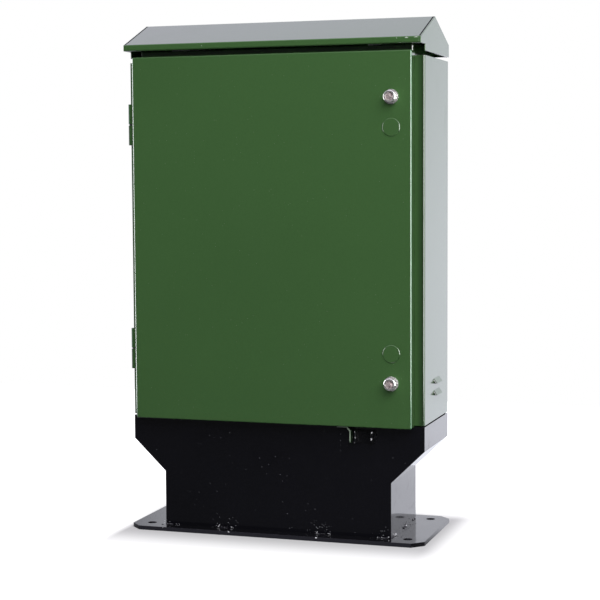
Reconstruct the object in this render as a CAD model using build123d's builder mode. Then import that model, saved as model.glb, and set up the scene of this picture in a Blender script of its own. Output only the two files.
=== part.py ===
from build123d import *
import os
from math import atan2, cos, sin

os.makedirs("parts", exist_ok=True)

# A roadside cabinet for cable connections: a slim folded steel body with one door, under a
# gabled rain roof, on a steel root that tapers to a base plate with anchor holes.
# Frame: +Z up, the door faces -Y, origin on the underside of the base plate at its centre.
# All sizes are in millimetres.

# Body
body_width = 600.0
body_depth = 200.0
body_height = 700.0
sheet = 2.0
bend_radius = 4.0
hidden_sides = 16

# Front opening of the body, with a rain gutter lip turned forward round it
flange = 25.0
gutter_lip = 12.0

# Root: as wide as the body at its top, narrower towards the ground
root_height = 230.0
root_sheet = 3.0
root_upper_height = 47.0
root_taper_height = 64.0
root_taper_run = 66.0
root_frame_width = 32.0
root_edge_radius = 1.5
root_bolt_hole = 12.0
seal_thickness = 3.0
seal_inset = 4.0

# Base plate
plate_side_overhang = 2.0
plate_front_overhang = 29.0
plate_thickness = 8.0
plate_corner_cut = 22.0
anchor_inset_x = 36.0
anchor_inset_y = 34.0
anchor_hole_radius = 9.0
cable_way_width = 400.0
cable_way_depth = 130.0
cable_way_corner = 15.0

# Neck between body and roof
neck_height = 21.0
neck_side_inset = 23.0
neck_front_inset = 3.0
neck_rear_inset = 19.0
neck_flange = 16.0
vent_length = 60.0
vent_height = 8.0
vent_count = 6
vent_pitch = 85.0

# Roof
roof_gap = 8.5
roof_skirt = 24.5
roof_lip = 12.0
roof_front_overhang = 30.0
roof_rear_overhang = 5.0
roof_rise = 46.0
ridge_offset = 15.0
roof_fold_radius = 3.0
roof_hem = 10.0
gable_notch = 5.0
gable_edge_radius = 1.2
gable_gap = 2.8
gable_flange = 12.0
gable_flange_margin = 12.0
bracket_x = 200.0
bracket_foot = 22.0
bracket_peak_gap = 2.0
bracket_end_gap = 1.0

# Door
door_sheet = 2.0
door_thickness = 25.5
door_seat_gap = 1.5
door_hinge_reveal = 16.0
door_lock_reveal = 19.0
door_overlap_top = 9.0
door_overlap_bottom = 4.0
door_edge_radius = 3.0
door_corner_radius = 3.5
stiffener_width = 80.0
stiffener_depth = 12.0
stiffener_margin = 80.0
stiffener_brim = 15.0
stiffener_flare = 8.0
stiffener_sheet = 1.5
gasket_width = 12.0
gasket_gap = 0.4

# Lift-off hinges, each a body knuckle below a door knuckle
hinge_rises = (133.0, 578.0)
knuckle_radius = 5.0
knuckle_length = 39.0
knuckle_gap = 2.6
knuckle_floor = 4.0
hinge_pin_radius = 3.0
hinge_pin_length = 66.0
hinge_leaf = 3.0
hinge_setback = 4.0
hinge_face_gap = 0.5
running_fit = 0.05
seat_gap = 0.1

# Quarter-turn locks, and the blanked spare holes beside them
lock_from_edge = 39.0
lock_from_end = 80.0
spare_from_end = 136.5
lock_flange_radius = 14.0
lock_flange_thickness = 2.5
lock_barrel_radius = 11.8
lock_barrel_length = 16.0
lock_thread_radius = 10.5
lock_thread_length = 18.0
lock_nut_flats = 27.0
lock_nut_thickness = 6.0
lock_mouth_radius = 8.2
lock_mouth_depth = 5.0
lock_bevel = 1.2
lock_spindle_radius = 5.0
lock_square = 7.0
driver_spigot_radius = 4.6
driver_face = 2.4
driver_rim_gap = 0.4
driver_spigot_sink = 0.5
cam_reach = 48.0
cam_width = 18.0
cam_thickness = 3.0
cam_gap = 1.5
cam_screw_flats = 10.0
cam_screw_height = 4.0
blank_radius = 17.0
blank_rise = 1.6
blank_bevel = 0.8
blank_neck = 5.0
spare_hole_radius = 14.0

# Padlock fitting below the door
padlock_hole_radius = 4.5
padlock_reach = 11.0
padlock_rise = 205.0
ear_pitch = 33.0
ear_x = 167.5
ear_sheet = 3.0
ear_reach = 20.0
ear_height = 24.0
tongue_x = 158.0
tongue_sheet = 2.5
tongue_flange = 20.0
tongue_jog = 6.0
tongue_reach = 18.0

# Louvres low on both sides
louvre_length = 50.0
louvre_height = 10.0
louvre_depth = 7.0
louvre_wall = 1.5
louvre_end_radius = 3.0
louvre_pitch = 23.0
louvre_rise = 49.0
louvre_count = 2

# Equipment inside
gear_plate_width = 510.0
gear_plate_height = 610.0
gear_plate_thickness = 2.5
inner_plate_corner = 6.0
gear_plate_standoff = 36.0
post_inset = 20.0
post_across_flats = 16.0
gear_screw_flats = 13.0
gear_screw_height = 5.5
rail_rises = (260.0, 410.0, 560.0)
rail_length = 480.0
rail_depth = 7.5
rail_half_height = 17.5
rail_half_web = 12.5
rail_sheet = 1.0
rail_screw_inset = 8.0
module_count = 6
module_pitch = 78.0
module_width = 72.0
module_height = 90.0
module_depth = 46.0
module_step = 14.0
module_slot_depth = 4.0
module_slot_height = 9.0
module_slot_end = 6.0
head_flats = 8.0
head_height = 3.5
clamp_rail_rise = 90.0
clamp_rail_depth = 18.0
clamp_rail_height = 30.0
clamp_count = 5
clamp_pitch = 90.0
clamp_radius = 14.0
clamp_sheet = 2.5
clamp_width = 16.0
clamp_ear = 11.0
earth_stud_inset = 60.0
earth_stud_radius = 4.0
earth_stud_length = 11.0
earth_nut_thickness = 6.5
earth_bar_rise = 35.0
earth_bar_length = 400.0
earth_bar_height = 25.0
earth_bar_thickness = 5.0
earth_bar_bevel = 1.0
earth_post_length = 26.0
earth_post_x = 170.0
earth_screw_flats = 10.0
earth_screw_height = 4.0
earth_screw_count = 7
earth_screw_pitch = 42.0

# Gland plate
gland_plate_width = 440.0
gland_plate_depth = 150.0
gland_plate_thickness = 2.0
gland_screw_inset_x = 12.0
gland_screw_inset_y = 10.0
floor_way_width = 400.0
floor_way_depth = 110.0
grommet_count = 4
grommet_pitch = 95.0
grommet_hole_radius = 20.0
grommet_rim = 5.0
grommet_groove = 2.5

# Root bolts
root_bolt_radius = 5.0
root_bolt_flats = 17.0
root_bolt_head = 6.4
root_bolt_length = 22.0
root_nut_thickness = 8.0
hole_clearance = 0.5
cut_over = 1.0

# Heights and planes that follow from the driving sizes
half_width = body_width / 2
half_depth = body_depth / 2
front_face = -half_depth
inner_half_width = half_width - sheet
inner_half_depth = half_depth - sheet
body_bottom = root_height
body_top_z = body_bottom + body_height
opening_half = half_width - flange
opening_bottom = body_bottom + flange
opening_top = body_top_z - flange
body_middle_z = body_bottom + body_height / 2
floor_z = body_bottom + sheet

door_left = -half_width + door_hinge_reveal
door_right = half_width - door_lock_reveal
door_bottom = body_bottom - door_overlap_bottom
door_top = body_top_z + door_overlap_top
door_back = front_face - door_seat_gap
door_front = door_back - door_thickness
door_inside = door_front + door_sheet
door_middle_x = (door_left + door_right) / 2
door_middle_z = (door_bottom + door_top) / 2

hinge_x = -half_width + hinge_setback
hinge_y = front_face - hinge_face_gap - knuckle_radius
hinge_heights = [body_bottom + rise for rise in hinge_rises]

lock_x = door_right - lock_from_edge
lock_reach = body_height / 2 - lock_from_end
spare_reach = body_height / 2 - spare_from_end
lock_heights = {"upper": door_middle_z + lock_reach, "lower": door_middle_z - lock_reach}
spare_heights = [door_middle_z + spare_reach, door_middle_z - spare_reach]

root_top = body_bottom - seal_thickness
root_half_depth = half_depth
root_shoulder = root_top - root_upper_height
root_waist = root_shoulder - root_taper_height
root_half_waist = half_width - root_taper_run
root_inner_half = root_half_depth - root_sheet
frame_half_width = half_width - root_sheet
plate_width = body_width + 2 * plate_side_overhang
plate_depth = body_depth + 2 * plate_front_overhang
anchor_spacing_x = plate_width - 2 * anchor_inset_x
anchor_spacing_y = plate_depth - 2 * anchor_inset_y

neck_top = body_top_z + neck_height
skirt_bottom = body_top_z + roof_gap
eave_z = skirt_bottom + roof_skirt
lip_bottom = eave_z - roof_lip
ridge_z = eave_z + roof_rise
roof_front = front_face - roof_front_overhang
roof_rear = half_depth + roof_rear_overhang

gear_back = inner_half_depth - gear_plate_standoff
gear_front = gear_back - gear_plate_thickness
gear_low = body_middle_z - gear_plate_height / 2
gear_high = body_middle_z + gear_plate_height / 2


def write(piece, name):
    """Label a finished piece and write it to its own file."""
    piece.part.label = name
    export_step(piece.part, f"parts/{name}.step")


def slab(x, y, z, mode=Mode.ADD):
    """A block between two limits on each axis, in the part being built."""
    with Locations(((x[0] + x[1]) / 2, (y[0] + y[1]) / 2, (z[0] + z[1]) / 2)):
        Box(x[1] - x[0], y[1] - y[0], z[1] - z[0], mode=mode)


def bar(profile, start, axis, length, mode=Mode.ADD):
    """A prism of a centred profile from a start point along an axis, in the part being built."""
    with BuildSketch(Plane(origin=start, z_dir=axis)) as section:
        profile()
    extrude(section.sketch, amount=length, mode=mode)


def round_bar(radius, start, axis, length, mode=Mode.ADD):
    """A round bar from a start point along an axis."""
    bar(lambda: Circle(radius), start, axis, length, mode)


def hex_bar(across_flats, start, axis, length, mode=Mode.ADD):
    """A hexagonal bar from a start point along an axis."""
    bar(lambda: RegularPolygon(across_flats / 2, 6, major_radius=False), start, axis, length, mode)


def hidden_bar(radius, start, axis, length):
    """A many-sided shank or peg that stays out of sight, as wide as a round one at its corners."""
    bar(lambda: RegularPolygon(radius, hidden_sides), start, axis, length)


def hidden_bore(radius, start, axis, length):
    """A many-sided bore that stays out of sight and clears a round bar of this radius."""
    bar(lambda: RegularPolygon(radius, hidden_sides, major_radius=False), start, axis, length, Mode.SUBTRACT)


def folded(points, thickness, radius, side):
    """Section of a folded sheet: a bent line given its thickness on one side."""
    with BuildLine() as line:
        FilletPolyline(*points, radius=radius)
        offset(amount=thickness, side=side, kind=Kind.INTERSECTION)
    make_face(line.edges())


def across(values_x, values_y):
    """Every pairing of two lists of coordinates."""
    return [(x, y) for x in values_x for y in values_y]


# Body wrap: back, sides and front flanges folded from one sheet, the gutter lips at the sides
# of the opening, and louvre hoods pressed out of both sides
with BuildPart() as louvre_hood:
    with BuildSketch(Plane.XZ.offset(-louvre_length / 2)):
        Polygon((0, 0), (louvre_depth, 0), (0, louvre_height), align=None)
    extrude(amount=louvre_length)
    slopes = louvre_hood.edges().filter_by(lambda edge: edge.length > louvre_height and
                                           abs(edge.center().Y) > louvre_length / 2 - 1)
    fillet(slopes, radius=louvre_end_radius)
    mirror(about=Plane.YZ.offset(-half_width))

with BuildPart() as louvre_slot:
    slope = atan2(louvre_height, louvre_depth)
    slot_reach = louvre_depth - louvre_wall / sin(slope)
    slot_rise = louvre_height - louvre_wall / cos(slope)
    with BuildSketch(Plane.XZ.offset(-louvre_length / 2 + louvre_wall)):
        Polygon((-sheet, 0), (slot_reach, 0), (0, slot_rise), (-sheet, slot_rise), align=None)
    extrude(amount=louvre_length - 2 * louvre_wall)
    mirror(about=Plane.YZ.offset(-half_width))

with BuildPart() as body_wrap:
    with BuildSketch(Plane.XY.offset(body_bottom)):
        RectangleRounded(body_width, body_depth, bend_radius)
        RectangleRounded(
            2 * inner_half_width, 2 * inner_half_depth, bend_radius - sheet, mode=Mode.SUBTRACT)
        with Locations((0, front_face)):
            Rectangle(2 * opening_half, 4 * sheet, mode=Mode.SUBTRACT)
    extrude(amount=body_height)
    for side in (-1, 1):
        lip_x = sorted((side * opening_half, side * (opening_half + sheet)))
        slab(lip_x, (front_face - gutter_lip, front_face + sheet),
             (opening_bottom - sheet, opening_top + sheet))
    for index in range(louvre_count):
        with Locations((half_width, 0, body_bottom + louvre_rise + index * louvre_pitch)):
            add(louvre_hood.part)
            add(louvre_slot.part, mode=Mode.SUBTRACT)
write(body_wrap, "body_wrap")


# Body top and floor: flat trays between the sides, with the upper and lower rails of the
# opening turned up or down from their front edges
vent_rows = (-45.0, 35.0)


def tray(level, outward):
    """A tray at one end of the body: its sheet, front rail and gutter lip."""
    rail_end = level - outward * flange
    with BuildSketch(Plane.XY.offset(level)) as outline:
        RectangleRounded(2 * inner_half_width, 2 * inner_half_depth, bend_radius - sheet)
    extrude(outline.sketch, amount=-outward * sheet)
    slab((-opening_half, opening_half), (front_face, -inner_half_depth), sorted((rail_end, level)))
    slab((-opening_half, opening_half), (front_face - gutter_lip, front_face),
         sorted((rail_end, rail_end + outward * sheet)))


def bend_edges(builder, level):
    """The long outer edge where a tray's front rail is folded."""
    return builder.edges().filter_by(Axis.X).filter_by(
        lambda edge: abs(edge.center().Z - level) < 0.01 and abs(edge.center().Y - front_face) < 0.01)


with BuildPart() as body_top:
    tray(body_top_z, 1)
    fillet(bend_edges(body_top, body_top_z), radius=sheet)
    with BuildSketch(Plane.XY.offset(body_top_z)):
        for row in vent_rows:
            with Locations((0, row)):
                with GridLocations(vent_pitch, 1, vent_count, 1):
                    Rectangle(vent_length, vent_height)
    extrude(amount=-sheet, mode=Mode.SUBTRACT)
write(body_top, "body_top")

gland_screws = across(
    (-gland_plate_width / 2 + gland_screw_inset_x, 0, gland_plate_width / 2 - gland_screw_inset_x),
    (-gland_plate_depth / 2 + gland_screw_inset_y, gland_plate_depth / 2 - gland_screw_inset_y))
root_bolts_at = across(
    [side * (frame_half_width - root_frame_width / 2) for side in (-1, 1)],
    [side * (root_inner_half - root_frame_width / 2) for side in (-1, 1)])

with BuildPart() as body_floor:
    tray(body_bottom, -1)
    fillet(bend_edges(body_floor, body_bottom), radius=sheet)
    with BuildSketch(Plane.XY.offset(body_bottom)):
        RectangleRounded(floor_way_width, floor_way_depth, cable_way_corner)
        with Locations(*root_bolts_at):
            Rectangle(root_bolt_hole, root_bolt_hole)
    extrude(amount=sheet, mode=Mode.SUBTRACT)
write(body_floor, "body_floor")


# Gland plate over the cable way in the floor, with a stepped membrane grommet in each hole
grommets_at = [((index - (grommet_count - 1) / 2) * grommet_pitch, 0) for index in range(grommet_count)]

with BuildPart() as gland_plate:
    with BuildSketch(Plane.XY.offset(floor_z)):
        RectangleRounded(gland_plate_width, gland_plate_depth, inner_plate_corner)
        with Locations(*grommets_at):
            RegularPolygon(grommet_hole_radius, hidden_sides, major_radius=False, mode=Mode.SUBTRACT)
    extrude(amount=gland_plate_thickness)
write(gland_plate, "gland_plate")

with BuildPart() as gland_plate_screws:
    for x, y in gland_screws:
        hex_bar(head_flats, (x, y, floor_z + gland_plate_thickness), (0, 0, 1), head_height)
write(gland_plate_screws, "gland_plate_screws")

grommet_steps = [
    (grommet_hole_radius + grommet_rim, -grommet_groove, 0),
    (grommet_hole_radius - running_fit, 0, gland_plate_thickness),
    (grommet_hole_radius + grommet_rim, gland_plate_thickness, gland_plate_thickness + grommet_groove),
    (grommet_hole_radius - grommet_rim, gland_plate_thickness + grommet_groove,
     gland_plate_thickness + 2 * grommet_groove)]

with BuildPart() as cable_grommets:
    for x, y in grommets_at:
        for radius, low, high in grommet_steps:
            bar(lambda: RegularPolygon(radius, hidden_sides, major_radius=False),
                (x, y, floor_z + low), (0, 0, 1), high - low)
write(cable_grommets, "cable_grommets")


# Neck: a collar with vent slots in its rear wall that lifts the roof clear of the body, with an inward flange
# that the roof brackets are screwed to
neck_left = -half_width + neck_side_inset
neck_right = half_width - neck_side_inset
neck_front = front_face + neck_front_inset
neck_rear = half_depth - neck_rear_inset
neck_middle_y = (neck_front + neck_rear) / 2
neck_depth = neck_rear - neck_front
neck_width = neck_right - neck_left
foot_inset = neck_flange / 2
roof_screws_at = across((-bracket_x, bracket_x), (neck_front + foot_inset, neck_rear - foot_inset))

with BuildPart() as neck_collar:
    with BuildSketch(Plane.XY.offset(body_top_z)):
        with Locations((0, neck_middle_y)):
            RectangleRounded(neck_width, neck_depth, bend_radius)
            RectangleRounded(
                neck_width - 2 * sheet, neck_depth - 2 * sheet, bend_radius - sheet, mode=Mode.SUBTRACT)
    extrude(amount=neck_height)
    with BuildSketch(Plane.XY.offset(neck_top - sheet)):
        with Locations((0, neck_middle_y)):
            Rectangle(neck_width - 2 * sheet, neck_depth - 2 * sheet)
            Rectangle(neck_width - 2 * neck_flange, neck_depth - 2 * neck_flange, mode=Mode.SUBTRACT)
    extrude(amount=sheet)
    with BuildSketch(Plane.XZ.offset(-neck_rear)):
        with Locations((0, body_top_z + neck_height / 2)):
            with GridLocations(vent_pitch, 1, vent_count, 1):
                Rectangle(vent_length, vent_height)
    extrude(amount=2 * sheet, mode=Mode.SUBTRACT)
write(neck_collar, "neck_collar")


# Roof: a canopy folded from one sheet, held on brackets that stand on the neck, and two gable
# ends with flanges welded under it, a narrow gap beyond its ends. The line runs from the hem of
# the front lip over the ridge to the rear skirt.
canopy_half = inner_half_width - gable_gap
roof_line = [
    (roof_front + roof_hem, lip_bottom), (roof_front, lip_bottom), (roof_front, eave_z),
    (-ridge_offset, ridge_z), (roof_rear, eave_z), (roof_rear, skirt_bottom),
    (roof_rear - roof_hem, skirt_bottom)]

with BuildPart() as roof_canopy:
    with BuildSketch(Plane.YZ.offset(-canopy_half)):
        folded(roof_line, sheet, roof_fold_radius, Side.RIGHT)
    extrude(amount=2 * canopy_half)
write(roof_canopy, "roof_canopy")


front_slope = roof_rise / (-ridge_offset - roof_front)
rear_slope = roof_rise / (roof_rear + ridge_offset)
foot_top = neck_top + sheet


def under_roof(y):
    """Height of the canopy's underside above a point across the roof."""
    if y < -ridge_offset:
        return eave_z + (y - roof_front) * front_slope - sheet * (1 + front_slope ** 2) ** 0.5
    return eave_z + (roof_rear - y) * rear_slope - sheet * (1 + rear_slope ** 2) ** 0.5


def gable(start, flange_start):
    """One gable end: the roof's outline with a notch behind the front lip, and two flanges that
    lie under the slopes of the canopy."""
    notch_y = front_face + gable_notch
    with BuildSketch(Plane.YZ.offset(start)) as outline:
        Polygon(
            (roof_front, lip_bottom), (notch_y, lip_bottom), (notch_y, skirt_bottom),
            (roof_rear, skirt_bottom), (roof_rear, eave_z), (-ridge_offset, ridge_z),
            (roof_front, eave_z), align=None)
    extrude(outline.sketch, amount=sheet)
    for low, high in ((roof_front + gable_flange_margin, -ridge_offset - gable_flange_margin),
                      (-ridge_offset + gable_flange_margin, roof_rear - gable_flange_margin)):
        with BuildSketch(Plane.YZ.offset(flange_start)) as flange_section:
            Polygon(
                (low, under_roof(low) - sheet), (high, under_roof(high) - sheet), (high, under_roof(high)),
                (low, under_roof(low)), align=None)
        extrude(flange_section.sketch, amount=gable_flange)


with BuildPart() as gable_left:
    gable(-half_width, -inner_half_width)
    fillet(gable_left.faces().sort_by(Axis.X)[0].edges(), radius=gable_edge_radius)
write(gable_left, "gable_left")

with BuildPart() as gable_right:
    gable(inner_half_width, inner_half_width - gable_flange)
    fillet(gable_right.faces().sort_by(Axis.X)[-1].edges(), radius=gable_edge_radius)
write(gable_right, "gable_right")


with BuildPart() as roof_brackets:
    for x in (-bracket_x, bracket_x):
        web_front = neck_front + bracket_end_gap
        web_rear = neck_rear - bracket_end_gap
        peak = min(under_roof(-ridge_offset - 0.001), under_roof(-ridge_offset + 0.001)) - bracket_peak_gap
        peak_front = -ridge_offset - (under_roof(-ridge_offset - 0.001) - peak) / front_slope
        peak_rear = -ridge_offset + (under_roof(-ridge_offset + 0.001) - peak) / rear_slope
        with BuildSketch(Plane.YZ.offset(x + bracket_foot / 2)):
            Polygon(
                (web_front, neck_top), (web_rear, neck_top), (web_rear, under_roof(web_rear)),
                (peak_rear, peak), (peak_front, peak), (web_front, under_roof(web_front)), align=None)
        extrude(amount=sheet)
        with BuildSketch(Plane.XY.offset(neck_top)):
            with Locations((x, neck_middle_y)):
                Rectangle(bracket_foot, neck_depth - 2 * bracket_end_gap)
        extrude(amount=sheet)
write(roof_brackets, "roof_brackets")

with BuildPart() as roof_screws:
    for x, y in roof_screws_at:
        hex_bar(head_flats, (x, y, foot_top), (0, 0, 1), head_height)
write(roof_screws, "roof_screws")


# Root: front and rear plates cut to the outline, folded side plates between them, and an
# inner frame at the top that the body is bolted to
root_outline = [
    (half_width, root_top), (half_width, root_shoulder), (root_half_waist, root_waist),
    (root_half_waist, plate_thickness)]
mirrored_outline = [(-x, z) for x, z in reversed(root_outline)]


def root_plate(start, outer_face):
    """A front or rear plate of the root with softened outer edges."""
    with BuildPart() as plate:
        with BuildSketch(Plane.XZ.offset(-start)):
            Polygon(*root_outline, *mirrored_outline, align=None)
        extrude(amount=root_sheet)
        outer = plate.faces().sort_by(Axis.Y)[outer_face]
        standing = outer.edges().filter_by(lambda edge: abs(edge.tangent_at(0.5).Z) > 0.1)
        fillet(standing, radius=root_edge_radius)
    return plate


root_front = root_plate(-root_inner_half, 0)
write(root_front, "root_front")
root_rear = root_plate(root_half_depth, -1)
write(root_rear, "root_rear")


def root_side(points, side):
    """A side plate of the root, folded twice to follow the taper."""
    with BuildPart() as plate:
        with BuildSketch(Plane.XZ.offset(-root_inner_half)):
            with BuildLine():
                Polyline(*points)
                offset(amount=root_sheet, side=side, kind=Kind.INTERSECTION)
            make_face()
        extrude(amount=2 * root_inner_half)
    return plate


root_right = root_side(root_outline, Side.RIGHT)
write(root_right, "root_side_right")
root_left = root_side(mirrored_outline, Side.RIGHT)
write(root_left, "root_side_left")

with BuildPart() as root_frame:
    with BuildSketch(Plane.XY.offset(root_top - root_sheet)):
        Rectangle(2 * frame_half_width, 2 * root_inner_half)
        Rectangle(
            2 * (frame_half_width - root_frame_width), 2 * (root_inner_half - root_frame_width),
            mode=Mode.SUBTRACT)
        with Locations(*root_bolts_at):
            Rectangle(root_bolt_hole, root_bolt_hole, mode=Mode.SUBTRACT)
    extrude(amount=root_sheet)
write(root_frame, "root_frame")

with BuildPart() as root_seal:
    with BuildSketch(Plane.XY.offset(root_top)):
        Rectangle(2 * (half_width - seal_inset), 2 * (half_depth - seal_inset))
        Rectangle(
            2 * (frame_half_width - root_frame_width), 2 * (root_inner_half - root_frame_width),
            mode=Mode.SUBTRACT)
        with Locations(*root_bolts_at):
            Rectangle(root_bolt_hole, root_bolt_hole, mode=Mode.SUBTRACT)
    extrude(amount=seal_thickness)
write(root_seal, "root_seal")

with BuildPart() as root_bolts:
    for x, y in root_bolts_at:
        hex_bar(root_bolt_flats, (x, y, floor_z), (0, 0, 1), root_bolt_head)
        hidden_bar(root_bolt_radius, (x, y, floor_z), (0, 0, -1), root_bolt_length)
write(root_bolts, "root_bolts")

with BuildPart() as root_nuts:
    for x, y in root_bolts_at:
        under_frame = root_top - root_sheet
        hex_bar(root_bolt_flats, (x, y, under_frame), (0, 0, -1), root_nut_thickness)
        hidden_bore(root_bolt_radius + running_fit, (x, y, under_frame), (0, 0, -1), root_nut_thickness)
write(root_nuts, "root_nuts")

with BuildPart() as base_plate:
    with BuildSketch():
        plate_outline = Rectangle(plate_width, plate_depth)
        chamfer(plate_outline.vertices(), length=plate_corner_cut)
        RectangleRounded(cable_way_width, cable_way_depth, cable_way_corner, mode=Mode.SUBTRACT)
        with GridLocations(anchor_spacing_x, anchor_spacing_y, 2, 2):
            Circle(anchor_hole_radius, mode=Mode.SUBTRACT)
    extrude(amount=plate_thickness)
write(base_plate, "base_plate")


# Padlock fitting: a U bracket welded to the root, and a jogged tongue under the door. One bar
# can pass through the tongue and both ears.
padlock_y = front_face - padlock_reach
ear_low = padlock_rise - ear_height / 2
bracket_half = ear_pitch / 2 + ear_sheet / 2
bracket_middle = ear_x + ear_pitch / 2

with BuildPart() as padlock_bracket:
    with BuildSketch(Plane.XY.offset(ear_low)):
        with Locations((bracket_middle, front_face - ear_reach / 2)):
            Rectangle(2 * bracket_half, ear_reach)
        with Locations((bracket_middle, front_face - ear_sheet - ear_reach / 2)):
            Rectangle(2 * (bracket_half - ear_sheet), ear_reach, mode=Mode.SUBTRACT)
    extrude(amount=ear_height)
    ear_tips = padlock_bracket.edges().filter_by(Axis.X).filter_by(
        lambda edge: edge.center().Y < front_face - ear_reach + 0.01)
    fillet(ear_tips, radius=ear_height / 4)
    round_bar(
        padlock_hole_radius, (bracket_middle - bracket_half, padlock_y, padlock_rise), (1, 0, 0),
        2 * bracket_half, Mode.SUBTRACT)
write(padlock_bracket, "padlock_bracket")

with BuildPart() as padlock_tongue:
    tongue_top = door_bottom
    tongue_low = ear_low
    with BuildSketch(Plane.XZ.offset(-(padlock_y + tongue_reach / 2))):
        with BuildLine():
            Polyline(
                (tongue_x - tongue_jog - tongue_flange, tongue_top), (tongue_x - tongue_jog, tongue_top),
                (tongue_x + tongue_sheet / 2, tongue_top - tongue_jog - tongue_sheet),
                (tongue_x + tongue_sheet / 2, tongue_low))
            offset(amount=tongue_sheet, side=Side.RIGHT, kind=Kind.INTERSECTION)
        make_face()
    extrude(amount=tongue_reach)
    tongue_tips = padlock_tongue.edges().filter_by(Axis.X).filter_by(
        lambda edge: edge.center().Z < tongue_low + 0.01)
    fillet(tongue_tips, radius=tongue_reach / 3)
    round_bar(
        padlock_hole_radius, (tongue_x - tongue_jog, padlock_y, padlock_rise), (1, 0, 0),
        2 * tongue_jog, Mode.SUBTRACT)
write(padlock_tongue, "padlock_tongue")


# Hinges: the body knuckle is blind and carries the pin, a washer sits on it, and the door
# knuckle turns on the pin above
def knuckle(start, bore_from, wing_x, wing_y):
    """A knuckle with the wing that is welded to the sheet beside it."""
    x, y, z = start
    round_bar(knuckle_radius, start, (0, 0, 1), knuckle_length)
    slab(wing_x, wing_y, (z, z + knuckle_length))
    round_bar(
        hinge_pin_radius + running_fit, (x, y, bore_from), (0, 0, 1), z + knuckle_length - bore_from,
        Mode.SUBTRACT)


body_wing_y = (front_face - hinge_leaf, front_face)
body_wing_x = (hinge_x, hinge_x + 2 * knuckle_radius)
door_wing_y = (hinge_y - knuckle_radius, hinge_y - knuckle_radius + hinge_leaf)
door_wing_x = (hinge_x, door_left)

with BuildPart() as body_hinge_leaves:
    for height in hinge_heights:
        base = height - knuckle_gap / 2 - knuckle_length
        knuckle((hinge_x, hinge_y, base), base + knuckle_floor, body_wing_x, body_wing_y)
write(body_hinge_leaves, "body_hinge_leaves")

with BuildPart() as door_hinge_leaves:
    for height in hinge_heights:
        base = height + knuckle_gap / 2
        knuckle((hinge_x, hinge_y, base), base, door_wing_x, door_wing_y)
write(door_hinge_leaves, "door_hinge_leaves")

with BuildPart() as hinge_pins:
    for height in hinge_heights:
        foot = height - knuckle_gap / 2 - knuckle_length + knuckle_floor
        round_bar(hinge_pin_radius, (hinge_x, hinge_y, foot), (0, 0, 1), hinge_pin_length)
write(hinge_pins, "hinge_pins")

with BuildPart() as hinge_washers:
    for height in hinge_heights:
        foot = (hinge_x, hinge_y, height - knuckle_gap / 2)
        hidden_bar(knuckle_radius - 1, foot, (0, 0, 1), knuckle_gap - seat_gap)
        hidden_bore(hinge_pin_radius + running_fit, foot, (0, 0, 1), knuckle_gap)
write(hinge_washers, "hinge_washers")


# Door: a pan with folded edges, holed for two locks and two spare positions
with BuildPart() as door_pan:
    slab((door_left, door_right), (door_front, door_back), (door_bottom, door_top))
    fillet(door_pan.edges().filter_by(Axis.Y), radius=door_corner_radius)
    fillet(door_pan.faces().sort_by(Axis.Y)[0].edges(), radius=door_edge_radius)
    slab((door_left + door_sheet, door_right - door_sheet), (door_inside, door_back + cut_over),
         (door_bottom + door_sheet, door_top - door_sheet), Mode.SUBTRACT)
    for height in lock_heights.values():
        round_bar(lock_thread_radius + hole_clearance, (lock_x, door_front - cut_over, height), (0, 1, 0),
                  door_sheet + 2 * cut_over, Mode.SUBTRACT)
    for height in spare_heights:
        hidden_bore(spare_hole_radius, (lock_x, door_front - cut_over, height), (0, 1, 0),
                    door_sheet + 2 * cut_over)
write(door_pan, "door_pan")

with BuildPart() as door_stiffener:
    crest = door_inside + stiffener_depth - stiffener_sheet
    half_foot = stiffener_width / 2
    half_crest = half_foot - stiffener_flare
    with BuildSketch(Plane.XY.offset(door_bottom + stiffener_margin)):
        with BuildLine():
            Polyline(
                (door_middle_x - half_foot - stiffener_brim, door_inside),
                (door_middle_x - half_foot, door_inside), (door_middle_x - half_crest, crest),
                (door_middle_x + half_crest, crest), (door_middle_x + half_foot, door_inside),
                (door_middle_x + half_foot + stiffener_brim, door_inside))
            offset(amount=stiffener_sheet, side=Side.LEFT, kind=Kind.INTERSECTION)
        make_face()
    extrude(amount=door_top - door_bottom - 2 * stiffener_margin)
write(door_stiffener, "door_stiffener")

gasket_back = front_face - gutter_lip - gasket_gap
with BuildPart() as door_gasket:
    gasket_half = door_right - door_edge_radius
    gasket_half_height = opening_top - body_middle_z + gasket_width / 2
    with BuildSketch(Plane.XZ.offset(-door_inside)):
        with Locations((0, body_middle_z)):
            Rectangle(2 * gasket_half, 2 * gasket_half_height)
            Rectangle(
                2 * (gasket_half - gasket_width), 2 * (gasket_half_height - gasket_width),
                mode=Mode.SUBTRACT)
    extrude(amount=-(gasket_back - door_inside))
write(door_gasket, "door_gasket")


# Locks: a chromed housing with a nut behind the door sheet, and a driver that turns in it with
# a triangular spigot in front and a cam behind. At rest the cams hang down, unlocked.
housing_front = door_front - lock_barrel_length
nut_front = door_inside
cam_front = front_face + sheet + cam_gap
spindle_start = housing_front + lock_mouth_depth

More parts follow.
